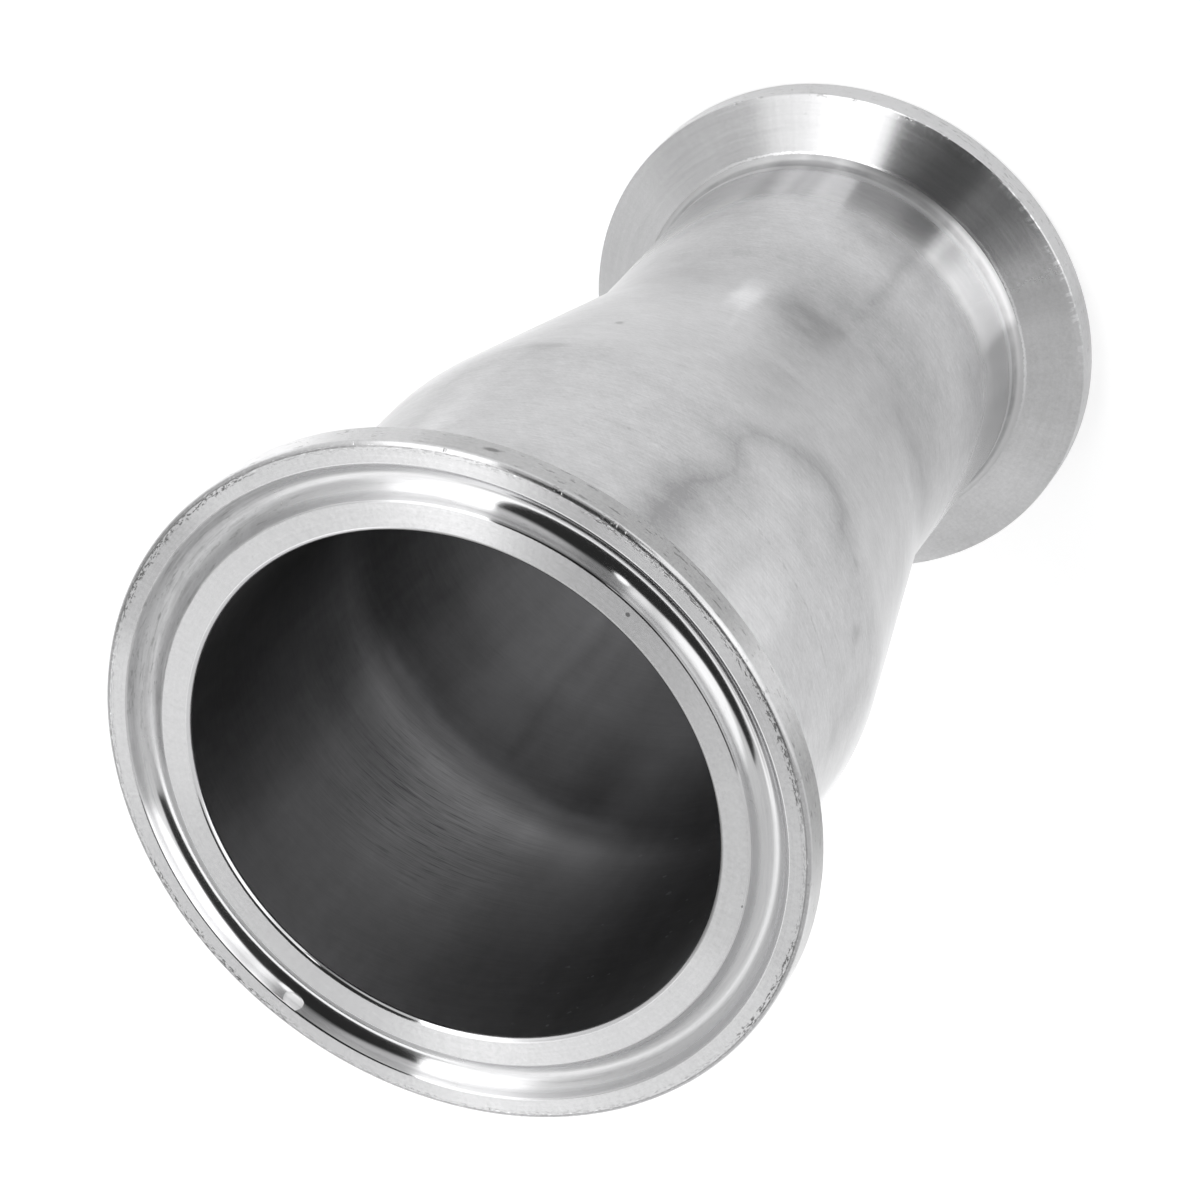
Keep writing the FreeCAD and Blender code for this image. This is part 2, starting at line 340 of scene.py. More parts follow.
class Sheet:
    """The nodes of one finish, light or floor, added one after another."""

    def __init__(self, owner):
        owner.use_nodes = True
        self.tree = owner.node_tree
        self.tree.nodes.clear()

    def add(self, kind, settings=None, sockets=None, out=0):
        """Add a node: its settings first, then its sockets' values or links, and give one output."""
        node = self.tree.nodes.new(kind)
        for name, value in (settings or {}).items():
            if name == "stops":
                self.set_stops(node.color_ramp, value)
            else:
                setattr(node, name, value)
        for name, value in (sockets or {}).items():
            socket = node.inputs[name]
            if isinstance(value, Level):
                self.tree.links.new(value.socket, socket)
            else:
                socket.default_value = value
        return Level(self, node.outputs[out]) if len(node.outputs) else node

    def set_stops(self, ramp, stops):
        """Put grey stops, as (place, grey), on a ramp."""
        while len(ramp.elements) < len(stops):
            ramp.elements.new(0.5)
        for element, (place, grey) in zip(ramp.elements, stops):
            element.position = place
            element.color = (grey, grey, grey, 1.0)

    def parts(self, vector):
        """The three numbers of a vector."""
        return [self.add("ShaderNodeSeparateXYZ", None, {0: vector}, i) for i in range(3)]

    def joined(self, x, y, z):
        """A vector of three numbers."""
        return self.add("ShaderNodeCombineXYZ", None, {0: x, 1: y, 2: z})

    def show(self, shader):
        """Give the finished shader to the surface."""
        self.add("ShaderNodeOutputMaterial", None, {"Surface": shader})

    def oval(self, across, along):
        """Distance from a middle, given the distance each way."""
        return (across.squared() + along.squared()).root()

    def scaled(self, vector, factor):
        """A vector made longer or shorter."""
        return self.add("ShaderNodeVectorMath", {"operation": "SCALE"}, {0: vector, "Scale": factor})

    def vector_maths(self, operation, first, second, out=0):
        """Work on two vectors: output 0 is a vector, output 1 a number."""
        return self.add("ShaderNodeVectorMath", {"operation": operation}, {0: first, 1: second}, out)

    def noise(self, place, scale, detail=2.0, rough=0.5, warp=0.0):
        """Soft noise from 0 to 1."""
        sockets = {"Vector": place, "Scale": scale, "Detail": detail, "Roughness": rough, "Distortion": warp}
        return self.add("ShaderNodeTexNoise", {"noise_dimensions": "3D"}, sockets)

    def blend(self, share, first, second):
        """One number or the other, by a share."""
        return self.add("ShaderNodeMix", {"data_type": "FLOAT"}, {0: share, 2: first, 3: second})

    def colour(self, share, first, second):
        """One colour or the other, by a share."""
        return self.add("ShaderNodeMix", {"data_type": "RGBA"}, {0: share, 6: first, 7: second}, 2)


# finishes of the steel

DARK_STEEL, BRIGHT_STEEL = (0.2, 0.2, 0.2, 1), (0.86, 0.86, 0.87, 1)
DARK_GROUND, BRIGHT_GROUND = (0.30, 0.30, 0.305, 1), (0.80, 0.80, 0.81, 1)
BRIGHT_RING = (0.95, 0.95, 0.955, 1)
DARK_BORE, BRIGHT_BORE = (0.22, 0.22, 0.225, 1), (0.82, 0.82, 0.83, 1)

# the quarter turn that lays the grain round the object
GRAIN_TURN = 0.25
# how much the turned lines change with the height, so that no face repeats another
LINE_CLIMB = 1.37
# this over a mark's length in millimetres is how fast the marks change round the object
MARK_SPREAD = 57.0


def patch(across, along, middle, half, soft):
    """1 inside a rectangle on the unrolled surface, with half sizes and soft edges given as pairs."""
    wide = across.near(middle[0], half[0] + soft[0], half[0] - soft[0])
    return wide * along.near(middle[1], half[1] + soft[1], half[1] - soft[1])


def add_patches(tone, across, along, patches):
    """Change a tone by patches, each with its middle, half size, soft edge and change."""
    for middle, half, soft, change in patches:
        tone = tone + patch(across, along, middle, half, soft) * change
    return tone


def add_marks(tone, marks):
    """Change a tone by marks, each with how much it changes the tone."""
    for mark, change in marks:
        tone = tone + mark * change
    return tone


class Finish(Sheet):
    """The nodes of one finish of the steel, with a point's place on the object in millimetres."""

    def __init__(self, name):
        self.material = bpy.data.materials.new(name)
        super().__init__(self.material)
        place = self.add("ShaderNodeTexCoord", None, None, "Object")
        self.x, self.y, self.z = [part * (1 / MM) for part in self.parts(place)]
        self.place = self.joined(self.x, self.y, self.z)
        self.radius = self.oval(self.x, self.y)
        # degrees round the axis, from -180 to 180, with 90 nearest the camera
        self.angle = self.x.maths("ARCTAN2", -self.y, self.x) * math.degrees(1)

    def top(self):
        """1 on the large flange."""
        return self.z.step_up(90, 91)

    def low(self):
        """1 on the small flange."""
        return self.z.step_up(7, 6)

    def round_gap(self, middle):
        """Millimetres round the axis from an angle in degrees."""
        return (self.angle - middle) * self.radius * math.radians(1)

    def ring_lines(self, along, spread, fine, detail=3.0):
        """Fine marks that run round the object, as turning or brushing leaves them."""
        spoke_x, spoke_y = self.x / self.radius * spread, self.y / self.radius * spread
        return self.noise(self.joined(spoke_x, spoke_y, along * fine), 1.0, detail, 0.65)

    def nicks(self, along, often, length, width):
        """Short marks that run round the object: 1 on a mark, 0 between the marks."""
        return self.ring_lines(along, MARK_SPREAD / length, 1 / width, 2.0).step_up(often, often + 0.07)

    def path_gap(self, across, along, points):
        """Distance to a line through a few points on the unrolled surface."""
        here = self.joined(across, along, 0.0)
        nearest = None
        for start, finish in zip(points, points[1:]):
            run = finish[0] - start[0], finish[1] - start[1], 0.0
            square = run[0] ** 2 + run[1] ** 2
            reach = self.vector_maths("SUBTRACT", here, (*start, 0.0))
            share = self.vector_maths("DOT_PRODUCT", reach, [part / square for part in run], 1).clipped()
            gap = self.vector_maths("DISTANCE", reach, self.scaled(run, share), 1)
            nearest = gap if nearest is None else nearest.least(gap)
        return nearest

    def facing(self, degrees):
        """The way the surface faces, turned about the upright axis."""
        normal = self.add("ShaderNodeNewGeometry", None, None, "Normal")
        sockets = {"Vector": normal, "Angle": degrees * math.radians(1)}
        return self.add("ShaderNodeVectorRotate", {"rotation_type": "Z_AXIS"}, sockets)

    def bump(self, height, depth, normal=None):
        """Relief from a height that goes from 0 to 1, with its depth in millimetres."""
        sockets = {"Height": height, "Distance": depth * MM}
        if normal is not None:
            sockets["Normal"] = normal
        return self.add("ShaderNodeBump", None, sockets)

    def steel(self, colour, roughness, normal, grain):
        """Bare metal with a grain."""
        sockets = {"Base Color": colour, "Metallic": 1.0, "Roughness": roughness, "Normal": normal,
                   "Anisotropic": grain, "Anisotropic Rotation": GRAIN_TURN}
        return self.add("ShaderNodeBsdfPrincipled", None, sockets)


# worn stretches of the large rim: the angle in the middle, how far the wear reaches and how far it is full
RIM_WEAR = [(3, 22, 12), (108, 32, 18), (176, 22, 12), (-77, 20, 12)]

# painted shade on the large rim's wall: from one angle to another, soft edge and change
RIM_WALL_PAINTED_SHADES = [(52, 78, 6, -0.2), (78, 108, 6, -0.3), (124, 168, 8, -0.26)]


def rim_wear(finish):
    """1 where the large rim is worn, 0 between the worn stretches."""
    worn = None
    for stretch in RIM_WEAR:
        here = finish.angle.near(*stretch)
        worn = here if worn is None else worn.most(here)
    return worn


def make_turned_steel():
    """Machined faces, rims and tapered backs, with the wear of the rims."""
    finish = Finish("turned_steel")
    z, radius, angle, place = finish.z, finish.radius, finish.angle, finish.place
    top, low = finish.top(), finish.low()
    lines = finish.ring_lines(radius + z * LINE_CLIMB, 2.0, 4.0)
    spokes = finish.ring_lines(radius + z, 46.0, 0.25)
    cloud = finish.noise(place, 0.12, 3.0) - 0.5
    satin = finish.noise(place, 2.6, 4.0, 0.75) - 0.5
    tone = (lines - 0.5) * 0.18 + cloud * 0.12 + satin * (top * 0.2 + 0.12) + (spokes - 0.5) * 0.09 + 0.54

    # the small flange's back is painted paler on the left, as a lighter reflection, and is matt on the right,
    # with a painted highlight line round the neck
    pale = low * (angle.step_up(35, 15) * 0.12 + angle.step_up(14, -6) * 0.2) * angle.step_up(-150, -100)
    matt = low * angle.step_up(108, 128).most(angle.step_up(-100, -150))
    painted_neck_highlight = (radius + (cloud + satin) * 0.5).near(20.0, 0.16, 0.04) * low * angle.between(20, 150, 15)
    tone = tone + pale + matt * (satin * 0.26 + cloud * 0.3 + 0.03) + painted_neck_highlight * 0.35
    # painted glints: bright specks on the small flange's back, and bright nicks along its back edge
    painted_glint_specks = finish.noise(place, 1.7, 1.0).step_up(0.76, 0.8) * angle.between(62, 78, 6)
    painted_glint_specks = painted_glint_specks * z.between(3.2, 5.2, 0.3)
    painted_back_edge_glints = (finish.nicks(z, 0.52, 1.5, 0.5) + 0.3) * z.between(2.75, 3.05, 0.08)
    painted_back_edge_glints = painted_back_edge_glints * angle.between(60, 135, 15)

    # painted light and shade on the large face and on the wall of its rim
    rim_wall = z.between(90, 93.9, 0.1) * radius.step_up(31.85, 31.95)
    land = radius.step_up(30, 30.2) * top * (1 - rim_wall)
    tone = tone - top * angle.between(122, 168, 8) * 0.12
    tone = tone + land * (angle.between(84, 112, 6) * 0.26 - angle.near(-5, 20, 8) * 0.2)
    for first, last, soft, change in RIM_WALL_PAINTED_SHADES:
        tone = tone + rim_wall * angle.between(first, last, soft) * change

    # wear and small marks
    worn = rim_wear(finish)
    scuffs = finish.nicks(radius, 0.53, 1.0, 0.13) * radius.near(31.4, 0.28, 0.1) * top * (worn * 0.85 + 0.15)
    pits = finish.noise(place, 3.2, 2.0, 0.6).step_up(0.62, 0.68) * radius.near(31.35, 0.45, 0.2) * top * worn
    burrs = finish.nicks(radius * 1.3, 0.6, 1.2, 0.12) * radius.near(31.6, 0.25, 0.1) * top
    # a thin line of painted shade along the front edge of the large rim
    painted_edge_shade_line = radius.near(31.6, 0.09, 0.02) * top * spokes
    rims = radius.step_up(31.55, 31.9) * top + radius.step_up(24.9, 25.15) * z.step_up(6, 5)
    rim_marks = finish.nicks(z + radius, 0.62, 2.4, 0.3) * rims * 0.6
    specks = finish.noise(place, 2.4, 1.0).step_up(0.74, 0.78)
    dots = finish.oval(finish.round_gap(93.7), radius - 25.85).step_up(0.26, 0.14)
    dots = dots + finish.oval(finish.round_gap(156), radius - 26.55).step_up(0.16, 0.08)
    smudge = patch(finish.round_gap(62), z + angle * 0.06, (0, 96.3), (0.5, 0.15), (0.5, 0.25)) * rim_wall
    marks = [(painted_glint_specks, 0.5), (painted_back_edge_glints, 0.3), (burrs, 0.4), (pits, -0.4), (scuffs, -0.72), (painted_edge_shade_line, -0.5),
             (rim_marks, -0.35), (specks, -0.05), (dots * top, -0.6), (smudge, -0.8)]
    colour = finish.colour(add_marks(tone, marks).clipped(), DARK_STEEL, BRIGHT_STEEL)
    roughness = lines * 0.06 + cloud * 0.05 + satin * 0.06 + scuffs * 0.1 + matt * 0.13 + 0.175

    # on the small flange the marks lie aslant, which carries its reflections round a little
    aslant = angle.step_up(35, 51) * 9 - angle.step_up(88, 148) * 22 - angle.step_up(-100, -150) * 13
    aslant = aslant + satin * angle.between(104, 132, 10) * 26
    normal = finish.bump(lines, 0.0015, finish.facing(aslant * z.step_up(8, 6)))
    normal = finish.bump(-scuffs - rim_marks, 0.03, normal)
    finish.show(finish.steel(colour, roughness, normal, 0.97))
    return finish.material


def make_groove_steel():
    """The bright round groove, its lips and the rounded edges."""
    finish = Finish("groove_steel")
    z, radius, angle, top = finish.z, finish.radius, finish.angle, finish.top()
    lines = finish.ring_lines(radius + z * LINE_CLIMB, 2.5, 5.0)
    fine = finish.ring_lines(radius * 2.0 + z, 6.0, 9.0)
    tone = (lines - 0.5) * 0.22 + (fine - 0.5) * 0.16 + 0.66

    # the stretch on the left of the picture is dull and mottled
    dull = angle.near(-8, 42, 16) * top * radius.step_up(24.5, 24.8)
    mottle = (finish.ring_lines(radius + z, 5.7, 2.0) - 0.44).most(0.0) * dull
    streaks = finish.nicks(radius, 0.54, 9.0, 0.3) * dull
    grain = (finish.noise(finish.place, 2.0, 3.0, 0.7) - 0.5) * (dull * 0.16 + 0.05)
    tone = add_marks(tone, [(mottle, -0.8), (streaks, -0.1), (grain, 1.0)])

    # lines and edges that are brighter or darker than the rest: a painted highlight on the far groove wall
    # and on the bore's edge, painted shade on lines and edges nearest the camera, and worn nicks
    worn = finish.nicks(radius * 1.1, 0.6, 2.5, 0.2) * (dull * 0.6 + 0.2)
    painted_wall_highlight = angle.between(-87, -52, 2.5) * radius.step_up(28.3, 28.7) * top
    painted_near_shade_line = patch(angle, radius, (95, 28.56), (37, 0.1), (6, 0.1)) * top
    bore_edge = radius.step_up(24.7, 24.5) * z.step_up(93.5, 93.6)
    painted_near_edge_shade = bore_edge * angle.between(48, 172, 10)
    painted_near_lip_shade = radius.near(26.68, 0.16, 0.08) * angle.between(65, 128, 1.5) * top
    tone = add_marks(tone, [(painted_wall_highlight, 0.35), (painted_near_shade_line, -0.42), (worn, -0.25)]).clipped()
    tone = add_marks(tone, [(bore_edge, 0.15), (painted_near_edge_shade, -0.6), (painted_near_lip_shade, -0.5)]).clipped()
    colour = finish.colour(tone, DARK_STEEL, BRIGHT_STEEL)

    # the groove's walls are a little rougher than its bottom, and it is clearest near the camera and opposite
    from_middle = (radius - finish.blend(z.step_up(40, 50), SMALL["groove"], LARGE["groove"])).size()
    walls = from_middle.step_up(0.95, 1.35) * from_middle.step_up(1.64, 1.5)
    unclear = 1 - angle.near(96, 44, 34).most(angle.near(-86, 44, 34))
    inner_foot = radius.step_up(28.12, 27.92) * radius.step_up(26.0, 26.1) * angle.near(-84, 44, 36) * top
    roughness = lines * 0.03 + walls * 0.12 + dull * 0.12 + unclear * 0.12 + inner_foot * 0.34 + 0.09

    # a dent in the far side of the groove, which catches the light
    dent = finish.oval(finish.round_gap(-93) / 0.95, (radius - 29.66) / 0.42).step_up(1.1, 0.75) * top
    normal = finish.bump(lines * 0.6 + fine * 0.4, 0.0012, finish.facing(dent * -13))
    normal = finish.bump(finish.ring_lines(radius + z, 3.4, 0.6, 2.0), 0.012, normal)
    finish.show(finish.steel(colour, roughness, normal, 0.9))
    return finish.material


# painted shade and highlights on the outside of the tube, in millimetres: round from the side nearest the
# camera, and height

# the line of the crease, along which a dark reflection is painted on the uneven ground steel
CREASE_PAINTED_SHADE_PATH = [(-1.8, 85.0), (-1.9, 77.0), (-1.2, 73.8), (0.5, 71.2), (0.9, 69.3), (0.4, 67.6), (-0.6, 65.8),
          (-0.7, 64.2), (0.4, 62.2), (2.8, 60.2), (5.6, 59.0), (8.6, 58.3), (10.2, 59.0), (11.4, 61.0)]

# the crease is a broad painted shade with a finer one in it: how far each reaches, how far it is full, and
# its change
CREASE_SHADES = [(5.0, 0.5, -0.14), (2.0, 0.0, -0.1), (0.5, 0.0, -0.06)]

# painted shade and painted highlights, where the uneven ground steel mirrors the room: middle, half size,
# soft edge and change of tone
BODY_PAINTED_LIGHT_AND_SHADE = [
    ((-3.4, 36.0), (3.6, 3.0), (2.4, 3.6), -0.14),
    ((5.0, 30.5), (5.5, 1.5), (4.0, 3.5), -0.08),
    ((3.0, 49.0), (7.0, 12.0), (3.5, 5.0), -0.09),
    ((6.0, 26.0), (9.0, 4.5), (5.0, 3.5), -0.15),
    ((0.7, 19.0), (0.3, 7.0), (1.3, 4.0), -0.24),
    ((-5.5, 19.0), (3.4, 3.4), (2.0, 2.5), 0.05),
    ((-0.6, 79.0), (2.2, 6.0), (2.6, 4.0), -0.18),
    ((10.0, 78.5), (2.6, 5.0), (1.6, 1.8), 0.15),
    ((-20.5, 61.0), (2.0, 0.5), (0.9, 0.6), -0.2),
    ((19.6, 65.5), (0.7, 1.0), (0.9, 0.6), -0.2),
    ((14.8, 61.5), (0.3, 0.5), (0.9, 0.6), -0.2),
    ((-16.6, 52.7), (0.2, 0.35), (0.35, 0.5), -0.9),
    ((-8.7, 36.0), (1.2, 3.0), (0.7, 3.0), 0.4),
    ((-8.0, 42.5), (0.3, 4.0), (0.4, 3.0), 0.1),
]

# painted shade in stretches near the outline: from and to an angle and soft edge, the same for height, and
# change
BODY_PAINTED_SHADE_STRETCHES = [
    ((145, 166, 6), (63, 80, 5), -0.28),
    ((9, 32, 5), (63, 81, 4), -0.34),
    ((-6, 13, 5), (51, 60, 3), -0.3),
    ((136, 152, 6), (42, 62, 4), -0.12),
    ((30, 46, 6), (44, 64, 4), -0.1),
]

# painted reflections in the smooth ring by the small flange: from and to an angle, soft edge and change
RING_PAINTED_REFLECTIONS = [(128, 144, 5, 0.1), (38, 50, 4, -0.26), (49, 56, 2.5, -0.3), (55, 66, 3, -0.16),
                (64, 88, 5, -0.08)]


def smooth_ring(finish, lines, cloud, mottle):
    """The smoother steel by the small flange, and how far it covers the ground steel."""
    z, angle = finish.z, finish.angle
    tone = (lines - 0.5) * 0.2 + cloud * 0.2 + 0.47
    # a painted bright reflection low on the ring, near the side nearest the camera
    tone = tone + angle.between(94.5, 128, 2.2) * z.step_up(13.4, 11) * 0.45
    for first, last, soft, change in RING_PAINTED_REFLECTIONS:
        tone = tone + angle.between(first, last, soft) * change
    # painted shade in the corner where the ring meets the small flange's back
    tone = tone - z.between(5.15, 5.75, 0.15) * (mottle + 0.6) * 0.5
    colour = finish.colour(tone.clipped(), DARK_GROUND, BRIGHT_RING)
    roughness = lines * 0.05 + finish.low() * 0.22 + 0.16
    smooth = finish.steel(colour, roughness, finish.bump(lines, 0.002), 0.9)

    # its edge is higher at the two sides of the tube than nearest the camera and behind
    front = -finish.y / finish.radius
    rise = front.step_up(0.75, 0.1) * front.step_up(-0.7, -0.1)
    edge = rise * 9.5 + 13 + (finish.noise(finish.place, 0.5, 2.0) - 0.5) * 1.6
    return smooth, (z - edge).step_up(1.5, -1.5)


def make_ground_steel():
    """The hand-ground outside of the tube, and the smoother ring by the small flange."""
    finish = Finish("ground_steel")
    x, z, angle, place = finish.x, finish.z, finish.angle, finish.place
    lines = finish.ring_lines(z, 8.0, 5.0)
    fine = finish.ring_lines(z - x * 0.3, 24.0, 11.0, 2.0)
    cross_lines = finish.ring_lines(z + x * 1.2, 24.0, 7.0, 2.0)
    cloud = finish.noise(place, 0.07, 3.0) - 0.5
    mottle = finish.noise(place, 0.45, 4.0, 0.6) - 0.5
    grain = finish.noise(place, 4.0, 2.0, 0.7) - 0.5
    tone = (lines - 0.5) * 0.32 + (fine - 0.5) * 0.34 + (cross_lines - 0.5) * 0.22
    tone = tone + cloud * 0.4 + mottle * 0.3 + grain * 0.22 + 0.41

    # the places of the painted shade and highlights waver a little, so that none looks ruled
    round_by = finish.round_gap(90) + (finish.noise(place, 0.22, 3.0) - 0.5) * 1.6
    up = z + (finish.noise(place, 0.2, 3.0, 0.5, 0.4) - 0.5) * 1.6
    tone = add_patches(tone, round_by, up, BODY_PAINTED_LIGHT_AND_SHADE)
    # painted shade along the crease
    crease = finish.path_gap(round_by, up, CREASE_PAINTED_SHADE_PATH)
    for reach, full, change in CREASE_SHADES:
        tone = tone + crease.step_up(reach, full) * change
    for turns, heights, change in BODY_PAINTED_SHADE_STRETCHES:
        tone = tone + angle.between(*turns) * z.between(*heights) * change
    dashes = finish.nicks(z, 0.5, 2.0, 0.4) * z.near(72.3, 0.3, 0.1) * angle.between(66, 135, 8)
    # the band between heights 24 and 36 is painted shade
    tone = add_marks(tone, [(dashes, -0.14), (z.between(24, 36, 3.5), -0.13)])
    colour = finish.colour(tone.clipped(), DARK_GROUND, BRIGHT_GROUND)
    relief = finish.bump(lines * 0.5 + fine * 0.3 + cross_lines * 0.2, 0.01)
    waves = finish.bump(finish.noise(place, 0.16, 2.0), 0.16, relief)
    ground = finish.steel(colour, mottle * 0.1 + 0.3, waves, 0.5)

    smooth, cover = smooth_ring(finish, lines, cloud, mottle)
    finish.show(finish.add("ShaderNodeMixShader", None, {0: cover, 1: ground, 2: smooth}))
    return finish.material


# painted lighter and darker reflections in the bore: middle in degrees and height, half size, soft edge and
# change of tone
BORE_PAINTED_LIGHT_AND_SHADE = [
    ((-16, 64), (7, 3), (6, 3), 0.12),
    ((-26, 63.5), (8, 3), (4, 2), 0.14),
    ((-12, 51), (30, 6), (14, 4), 0.12),
    ((-40, 62), (9, 18), (8, 5), 0.2),
    ((24, 88), (12, 9), (14, 5), 0.25),
    ((0, 94), (44, 2), (14, 4), 0.12),
    ((24, 67.5), (20, 4), (12, 3), -0.2),
    ((-2, 59.8), (33, 0.8), (6, 0.7), 0.35),
    ((-4, 79), (12, 0.6), (4, 1), 0.07),
    ((-4.5, 46), (1.6, 11), (2.4, 3), -0.16),
    ((-27, 56), (4, 2.5), (3, 3), -0.08),
    ((-37, 53), (4, 5), (4, 3), 0.1),
    ((-15, 53), (3, 5), (4, 3), 0.1),
    ((8, 53), (6, 5), (4, 3), 0.1),
]


def make_bore_steel():
    """The drawn inside of the tube, scuffed where the cone begins."""
    finish = Finish("bore_steel")
    x, z, place = finish.x, finish.z, finish.place
    # degrees round from the side away from the camera, and height, which both waver a little
    turn = finish.angle + 90 + (finish.noise(place, 0.15, 2.0) - 0.5) * 6
    up = z + (finish.noise(place, 0.2, 3.0) - 0.5) * 1.5
    lines = finish.ring_lines(z - x * 0.24, 4.0, 3.2)
    fine = finish.ring_lines(z - x * 0.21, 7.0, 9.0, 2.0)
    upright = finish.ring_lines(z, 5.0, 0.012) - 0.5
    cloud = finish.noise(place, 0.09, 3.0) - 0.5
    mottle = finish.noise(place, 0.8, 4.0, 0.7) - 0.5

    scored = patch(turn, up, (0, 70), (18, 8), (12, 6))
    scratches = finish.nicks(z - x * 0.27, 0.57, 11.0, 0.22) * scored
    tone = (lines - 0.5) * (scored * 0.6 + 0.14) + (fine - 0.5) * (scored * 0.5 + 0.14)
    tone = tone + cloud * 0.16 + mottle * 0.18 + upright * 0.3 + 0.42
    tone = add_patches(tone, turn, up, BORE_PAINTED_LIGHT_AND_SHADE)
    # painted light and shade: a bright belt near where the cone begins, a lighter bore low down, and a darker
    # side
    painted_bright_belt = turn.near(-1, 42, 31) * up.step_up(56.8, 58.6) * up.step_up(71, 64)
    shaded_side = turn.step_up(18, 42) * turn.step_up(170, 100)
    glints = finish.noise(place, 1.1, 1.0).step_up(0.73, 0.77) * turn.step_up(-40, -55) * up.step_up(58, 62)
    marks = [(scratches, -0.3), (painted_bright_belt, 0.14), (up.step_up(50, 46), 0.12), (shaded_side, -0.26),
             (glints, 0.8)]
    colour = finish.colour(add_marks(tone, marks).clipped(), DARK_BORE, BRIGHT_BORE)
    relief = finish.bump(lines * 0.5 + fine * 0.5, 0.006)
    finish.show(finish.steel(colour, mottle * 0.08 + 0.31, relief, 0.3))
    return finish.material


# how far a flange's turned steel reaches from its face, in millimetres: at the rim, and outside the neck
RIM_DEPTH = 4.0
BACK_DEPTH = 8.0


def give_finishes(piece):
    """Put each finish on the faces that it belongs to, by their place and which way they face."""
    finishes = [make_turned_steel(), make_groove_steel(), make_ground_steel(), make_bore_steel()]
    for material in finishes:
        piece.data.materials.append(material)
    turned, groove, ground, bore = range(4)
    for face in piece.data.polygons:
        radius = math.hypot(face.center.x, face.center.y) / MM
        height = face.center.z / MM
        outward = (face.normal.x * face.center.x + face.normal.y * face.center.y) / (radius * MM)
        end = LARGE if height > LENGTH / 2 else SMALL
        depth = abs(height - end["face"])
        in_groove = abs(radius - end["groove"]) < GROOVE_HALF + GROOVE_LIP and depth < GROOVE_DEPTH + 0.1
        on_flat = depth < MERGE
        if in_groove and not on_flat:
            face.material_index = groove
        elif depth < BORE_EDGE and outward < -0.01:
            face.material_index = groove
        elif outward < -0.5:
            face.material_index = bore
        elif depth < RIM_DEPTH or (radius > end["tube"] + NECK_ROUND and depth < BACK_DEPTH):
            face.material_index = turned
        else:
            face.material_index = ground


# the room: soft walls, a dark hood overhead and a pale floor

# light level of the walls by compass bearing, in degrees, with 0 behind the object and 180 behind the camera
WALLS = [
    (-180, 1.2), (-171, 1.2), (-168, 0.95), (-162, 1.2), (-156, 1.5), (-121, 1.5), (-113, 0.85), (-75, 0.8),
    (-25, 0.78), (0, 0.76), (5, 0.64), (18, 0.66), (30, 0.66), (60, 0.68), (75, 0.8), (90, 1.0),
    (105, 1.2), (118, 1.55), (138, 1.6), (149, 1.25), (157, 0.75), (166, 0.5), (177, 0.38), (180, 0.6),
]

# light levels of the other parts of the room
BRIGHTEST = 2.0
STRIP = 1.5
BAND = 2.1
LAMP = 1.7
CROWN = 1.6
DULL_LEFT = 0.82
DULL_BLOCK = 0.7
DARKEST = 0.03

# how far ahead of straight up the direction lies that a flat face mirrors into the camera
MIRROR = 0.615


def past_line(sheet, ray, way, start, finish):
    """From 0 to 1 across a line from the mirror point, turned in degrees from the right to the front."""
    right, front = math.sin(math.radians(way)), math.cos(math.radians(way))
    past = sheet.vector_maths("DOT_PRODUCT", ray, (right, front, 0.0), 1)
    return past.step_up(start + MIRROR * front, finish + MIRROR * front)


def side_of(sheet, plan, start, finish, soft):
    """1 to the left of the line from start to finish on the plan of the ceiling, with a soft edge."""
    run = Vector(finish) - Vector(start)
    left = Vector((-run.y, run.x)).normalized()
    edge = left.dot(Vector(start))
    side = sheet.vector_maths("DOT_PRODUCT", plan, (left.x, left.y, 0.0), 1)
    return side.step_up(edge - soft, edge + soft)


def oval_gap(sheet, plan, middle, half):
    """Distance on the plan of the ceiling from the middle of an oval, 1 on its edge."""
    shrunk = sheet.vector_maths("DIVIDE", plan, (*half, 1.0))
    return sheet.vector_maths("DISTANCE", shrunk, (middle[0] / half[0], middle[1] / half[1], 0.0), 1)


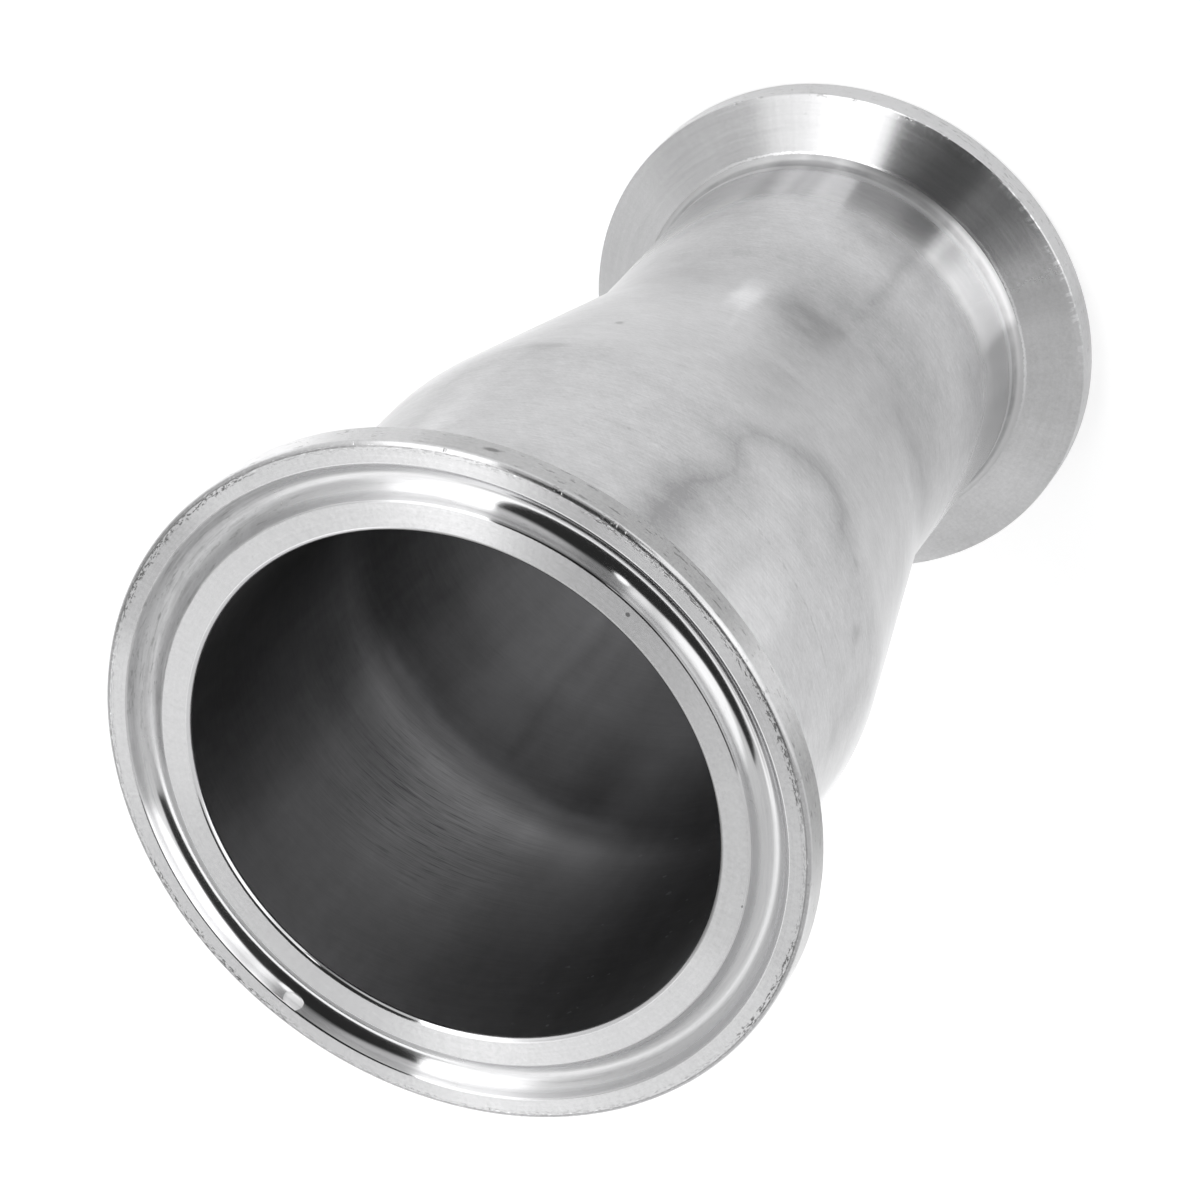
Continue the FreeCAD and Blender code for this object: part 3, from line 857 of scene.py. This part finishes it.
def make_room():
    """Soft light from all round, as a white tent gives it, and a dark hood overhead."""
    world = bpy.data.worlds.new("soft_room")
    bpy.context.scene.world = world
    sheet = Sheet(world)
    ray = sheet.add("ShaderNodeTexCoord", None, None, "Generated")
    x, y, z = sheet.parts(ray)
    flat = sheet.vector_maths("MULTIPLY", ray, (1.0, 1.0, 0.0))
    level = sheet.vector_maths("DISTANCE", flat, (0.0, 0.0, 0.0), 1)
    tilt = z.maths("ARCCOSINE", z) * math.degrees(1)
    bearing = x.maths("ARCTAN2", x, y) * math.degrees(1)

    # the ceiling's plan: degrees from straight up, across to the right and ahead
    plan = sheet.scaled(flat, tilt / level)
    across, ahead, _ = sheet.parts(plan)

    wall_stops = [(place / 360 + 0.5, glow / BRIGHTEST) for place, glow in WALLS]
    light = sheet.add("ShaderNodeValToRGB", {"stops": wall_stops}, {0: bearing / 360 + 0.5}) * BRIGHTEST

    # a bright strip ahead, between two lines from the mirror point
    strip = past_line(sheet, ray, 67, 0.02, -0.02) * past_line(sheet, ray, 50, -0.03, 0.06)
    light = sheet.blend(strip * y.step_up(0.64, 0.7) * tilt.step_up(140, 100), light, STRIP)

    # duller walls to the left and by the hood, and a bright band to the right
    left_out = past_line(sheet, ray, 130.6, 0.012, -0.012)
    light = sheet.blend(left_out, light, light.least(DULL_LEFT))
    right = past_line(sheet, ray, 63.2, 0.007, -0.007)
    right_low = side_of(sheet, plan, (19, -58), (33, -17), 8.0)
    left_high = past_line(sheet, ray, 130.6, -0.008, 0.008)
    left_low = side_of(sheet, plan, (-26, -1), (-8, -34), 4.5)
    near = ahead.step_up(-38, -28)
    block = across.step_up(-2.2, -0.8)
    light = sheet.blend(right * block * y.step_up(-0.1, -0.4), light, light.least(DULL_BLOCK))
    band = (1 - right) * past_line(sheet, ray, 45, 0.09, -0.04) * y.step_up(0.66, 0.62)
    light = sheet.blend(band, light, BAND)

    # the hood, paler towards its far edge, with a lamp in it
    hood = right * right_low * left_high * (left_low * near).most(block)
    hood_glow = ahead.step_up(-40, -66) * 0.3 + DARKEST
    light = sheet.blend(hood, light, hood_glow)
    lamp = oval_gap(sheet, plan, (1.2, -42), (2.5, 14.0))
    light = sheet.blend(lamp.step_up(1.15, 0.8), light, LAMP)

    # a bright round crown ahead
    crown = sheet.vector_maths("DISTANCE", plan, (0.0, 50.0, 0.0), 1)
    light = light.most(crown.step_up(26, 8) * (1 - hood) * CROWN)

    camera_ray = sheet.add("ShaderNodeLightPath", None, None, "Is Camera Ray")
    light = sheet.blend(camera_ray, light, 1.0)
    glow = sheet.add("ShaderNodeBackground", None, {"Color": (1, 1, 1, 1), "Strength": light})
    sheet.add("ShaderNodeOutputWorld", None, {"Surface": glow})


# the floor's width in metres, its own light, and the light it adds behind the object for the steel to mirror
FLOOR_WIDTH = 8.0
FLOOR_GLOW = 0.46
FLOOR_BEHIND = 0.5


def make_floor():
    """A pale floor that shows the object's shadow."""
    bpy.ops.mesh.primitive_plane_add(size=FLOOR_WIDTH, location=(0.0, 0.0, 0.0))
    floor = bpy.context.object
    floor.name = "floor"
    material = bpy.data.materials.new("pale_floor")
    sheet = Sheet(material)
    floor.data.materials.append(material)
    rays = [sheet.add("ShaderNodeLightPath", None, None, name)
            for name in ("Is Camera Ray", "Is Glossy Ray", "Is Transmission Ray")]
    seen = rays[0].most(rays[1]).most(rays[2])
    y = sheet.parts(sheet.add("ShaderNodeTexCoord", None, None, "Object"))[1]
    behind = rays[1] * y.step_up(-0.01, 0.03) * FLOOR_BEHIND
    matt = sheet.add("ShaderNodeBsdfDiffuse", None, {"Color": (0.8, 0.8, 0.8, 1)})
    strength = seen * FLOOR_GLOW + behind
    glow = sheet.add("ShaderNodeEmission", None, {"Color": (1, 1, 1, 1), "Strength": strength})
    shader = sheet.add("ShaderNodeAddShader", None, {0: matt, 1: glow})

    # seen from below, the floor is clear
    below = sheet.add("ShaderNodeNewGeometry", None, None, "Backfacing")
    clear = sheet.add("ShaderNodeBsdfTransparent")
    sheet.show(sheet.add("ShaderNodeMixShader", None, {0: below, 1: shader, 2: clear}))


def set_up_picture():
    """Plain colour handling."""
    bpy.context.scene.view_settings.view_transform = "Standard"


reducer = turn_reducer()
give_finishes(reducer)
make_room()
make_floor()
set_up_camera()
set_up_picture()

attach(reducer, "root")
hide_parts("clamp_reducer")
